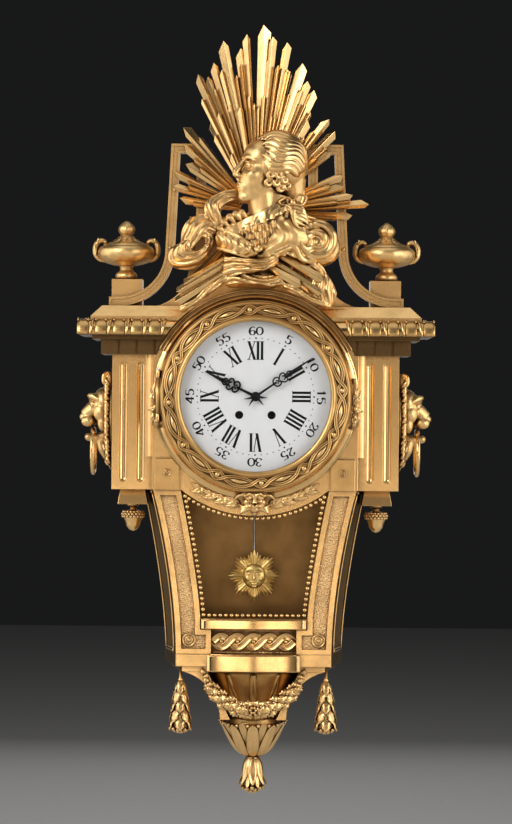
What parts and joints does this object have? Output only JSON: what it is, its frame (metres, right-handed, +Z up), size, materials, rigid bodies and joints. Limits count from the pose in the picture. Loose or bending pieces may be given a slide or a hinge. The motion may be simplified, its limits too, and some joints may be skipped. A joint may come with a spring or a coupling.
{
  "type": "cartel clock",
  "caption": "Gilt-bronze cartel wall clock: bust on a sunburst, urns, drum dial with hinged glazed bezel, fluted pilasters with lion rings, open pendulum window and foliate base.",
  "frame": {"origin": "centre of the hanging hole, on the wall plane", "axes": "+Z up; +Y into the wall, so the dial faces -Y; +X to the right seen from the front"},
  "size_m": [0.456, 0.1538, 1.0018],
  "materials": {
    "gilt_bronze": "mercury gilding, burnished and mat",
    "dark_bronze": "dark patinated",
    "clock_brass": "polished",
    "bell_metal": "turned",
    "steel": "polished steel",
    "enamel": "white fired enamel on copper",
    "ink": "blackened steel",
    "glass": "clear domed glass"
  },
  "bodies": {
    "case": {"back_plate": "dark_bronze", "upper_case": "gilt_bronze", "pilasters": "gilt_bronze", "cornices": "gilt_bronze", "pediment": "gilt_bronze", "scrolls": "gilt_bronze", "urns": "gilt_bronze", "sunburst": "gilt_bronze", "bust_head": "gilt_bronze", "bust_torso": "gilt_bronze", "dial_ring": "gilt_bronze", "bezel_hinge_pin": "steel", "ring_mask": "gilt_bronze", "lion_masks": "gilt_bronze", "rosettes": "gilt_bronze", "pilaster_drops": "gilt_bronze", "stiles": "gilt_bronze", "side_panels": "dark_bronze", "window_sill": "gilt_bronze", "frieze": "gilt_bronze", "base_band": "gilt_bronze", "base_bracket": "gilt_bronze", "garland": "gilt_bronze", "lotus_cup": "gilt_bronze", "bud_finial": "gilt_bronze", "tassels": "gilt_bronze", "dial": "enamel", "movement_arms": "clock_brass", "front_plate": "clock_brass", "rear_plate": "clock_brass", "suspension_cock": "clock_brass", "bell_stand": "steel", "bell": "bell_metal", "mainsprings": "steel"},
    "bezel": {"bezel_ring": "gilt_bronze", "glass": "glass"},
    "center": {"center_wheel": "clock_brass", "minute_hand": "ink"},
    "hour": {"hour_wheel": "clock_brass", "hour_hand": "ink"},
    "minute_work": {"minute_wheel": "clock_brass"},
    "second": {"second_wheel": "clock_brass"},
    "going_drum": {"going_barrel": "clock_brass"},
    "third": {"third_wheel": "clock_brass"},
    "escape": {"escape_wheel": "clock_brass"},
    "pendulum": {"pendulum_rod": "steel", "pendulum_bob": "gilt_bronze"},
    "verge": {"pallets": "steel"},
    "pin": {"pin_wheel": "clock_brass"},
    "strike_drum": {"strike_barrel": "clock_brass"},
    "strike_second": {"strike_second_wheel": "clock_brass"},
    "locking": {"locking_wheel": "clock_brass"},
    "fly_vane": {"fly": "clock_brass"},
    "hammer_arm": {"hammer": "steel"},
    "going_square": {"going_arbor": "steel"},
    "strike_square": {"strike_arbor": "steel"},
    "going_pawl": {"going_click": "steel"},
    "strike_pawl": {"strike_click": "steel"},
    "left_loop": {"left_ring": "gilt_bronze"},
    "right_loop": {"right_ring": "gilt_bronze"}
  },
  "joints": [
    {"name": "bezel_hinge", "type": "hinge", "parent": "case", "child": "bezel", "pos_m": [-0.1265, -0.107, -0.185], "axis": [0, 0, -1], "range_deg": [0, 100]},
    {"name": "center_spin", "type": "hinge", "parent": "case", "child": "center", "pos_m": [0, 0, -0.185], "axis": [0, 1, 0], "continuous": true},
    {"name": "hour_spin", "type": "hinge", "parent": "case", "child": "hour", "pos_m": [0, 0, -0.185], "axis": [0, 1, 0], "continuous": true},
    {"name": "minute_work_spin", "type": "hinge", "parent": "case", "child": "minute_work", "pos_m": [0, 0, -0.173], "axis": [0, 1, 0], "continuous": true},
    {"name": "second_spin", "type": "hinge", "parent": "case", "child": "second", "pos_m": [0.01743, 0, -0.1877], "axis": [0, 1, 0], "continuous": true},
    {"name": "going_barrel_spin", "type": "hinge", "parent": "case", "child": "going_drum", "pos_m": [0.021, 0, -0.209], "axis": [0, 1, 0], "continuous": true},
    {"name": "third_spin", "type": "hinge", "parent": "case", "child": "third", "pos_m": [0.00855, 0, -0.17103], "axis": [0, 1, 0], "continuous": true},
    {"name": "escape_spin", "type": "hinge", "parent": "case", "child": "escape", "pos_m": [0, 0, -0.159], "axis": [0, 1, 0], "continuous": true},
    {"name": "pendulum_swing", "type": "hinge", "parent": "case", "child": "pendulum", "pos_m": [0, 0, -0.144], "axis": [0, 1, 0], "range_deg": [-4, 4]},
    {"name": "verge_swing", "type": "hinge", "parent": "case", "child": "verge", "pos_m": [0, 0, -0.144], "axis": [0, 1, 0], "range_deg": [-4, 4]},
    {"name": "pin_spin", "type": "hinge", "parent": "case", "child": "pin", "pos_m": [-0.025, 0, -0.17585], "axis": [0, 1, 0], "continuous": true},
    {"name": "strike_barrel_spin", "type": "hinge", "parent": "case", "child": "strike_drum", "pos_m": [-0.021, 0, -0.209], "axis": [0, 1, 0], "continuous": true},
    {"name": "strike_second_spin", "type": "hinge", "parent": "case", "child": "strike_second", "pos_m": [-0.02999, 0, -0.18936], "axis": [0, 1, 0], "continuous": true},
    {"name": "locking_spin", "type": "hinge", "parent": "case", "child": "locking", "pos_m": [-0.02099, 0, -0.16353], "axis": [0, 1, 0], "continuous": true},
    {"name": "fly_spin", "type": "hinge", "parent": "case", "child": "fly_vane", "pos_m": [-0.02599, 0, -0.15406], "axis": [0, 1, 0], "continuous": true},
    {"name": "hammer_lift", "type": "hinge", "parent": "case", "child": "hammer_arm", "pos_m": [-0.04, 0, -0.173], "axis": [0, 1, 0], "range_deg": [0, 12]},
    {"name": "going_wind", "type": "hinge", "parent": "case", "child": "going_square", "pos_m": [0.021, 0, -0.209], "axis": [0, 1, 0], "continuous": true},
    {"name": "strike_wind", "type": "hinge", "parent": "case", "child": "strike_square", "pos_m": [-0.021, 0, -0.209], "axis": [0, 1, 0], "continuous": true},
    {"name": "going_click_lift", "type": "hinge", "parent": "case", "child": "going_pawl", "pos_m": [0.035, 0, -0.217], "axis": [0, -1, 0], "range_deg": [0, 10]},
    {"name": "strike_click_lift", "type": "hinge", "parent": "case", "child": "strike_pawl", "pos_m": [-0.035, 0, -0.217], "axis": [0, 1, 0], "range_deg": [0, 10]},
    {"name": "left_ring_swing", "type": "hinge", "parent": "case", "child": "left_loop", "pos_m": [-0.213, -0.042, -0.2286], "axis": [0, 1, 0], "range_deg": [0, 80]},
    {"name": "right_ring_swing", "type": "hinge", "parent": "case", "child": "right_loop", "pos_m": [0.213, -0.042, -0.2286], "axis": [0, -1, 0], "range_deg": [0, 80]}
  ],
  "couplings": [
    {"joint": "hour_spin", "follows": "center_spin", "ratio": 0.083333},
    {"joint": "minute_work_spin", "follows": "center_spin", "ratio": -0.33333},
    {"joint": "second_spin", "follows": "center_spin", "ratio": -0.16667},
    {"joint": "going_barrel_spin", "follows": "center_spin", "ratio": 0.020833},
    {"joint": "third_spin", "follows": "center_spin", "ratio": -12},
    {"joint": "escape_spin", "follows": "center_spin", "ratio": 86.4},
    {"joint": "verge_swing", "follows": "pendulum_swing", "ratio": 1},
    {"joint": "strike_second_spin", "follows": "pin_spin", "ratio": -0.125},
    {"joint": "strike_barrel_spin", "follows": "pin_spin", "ratio": 0.015625},
    {"joint": "locking_spin", "follows": "pin_spin", "ratio": -8},
    {"joint": "fly_spin", "follows": "pin_spin", "ratio": 64}
  ]
}
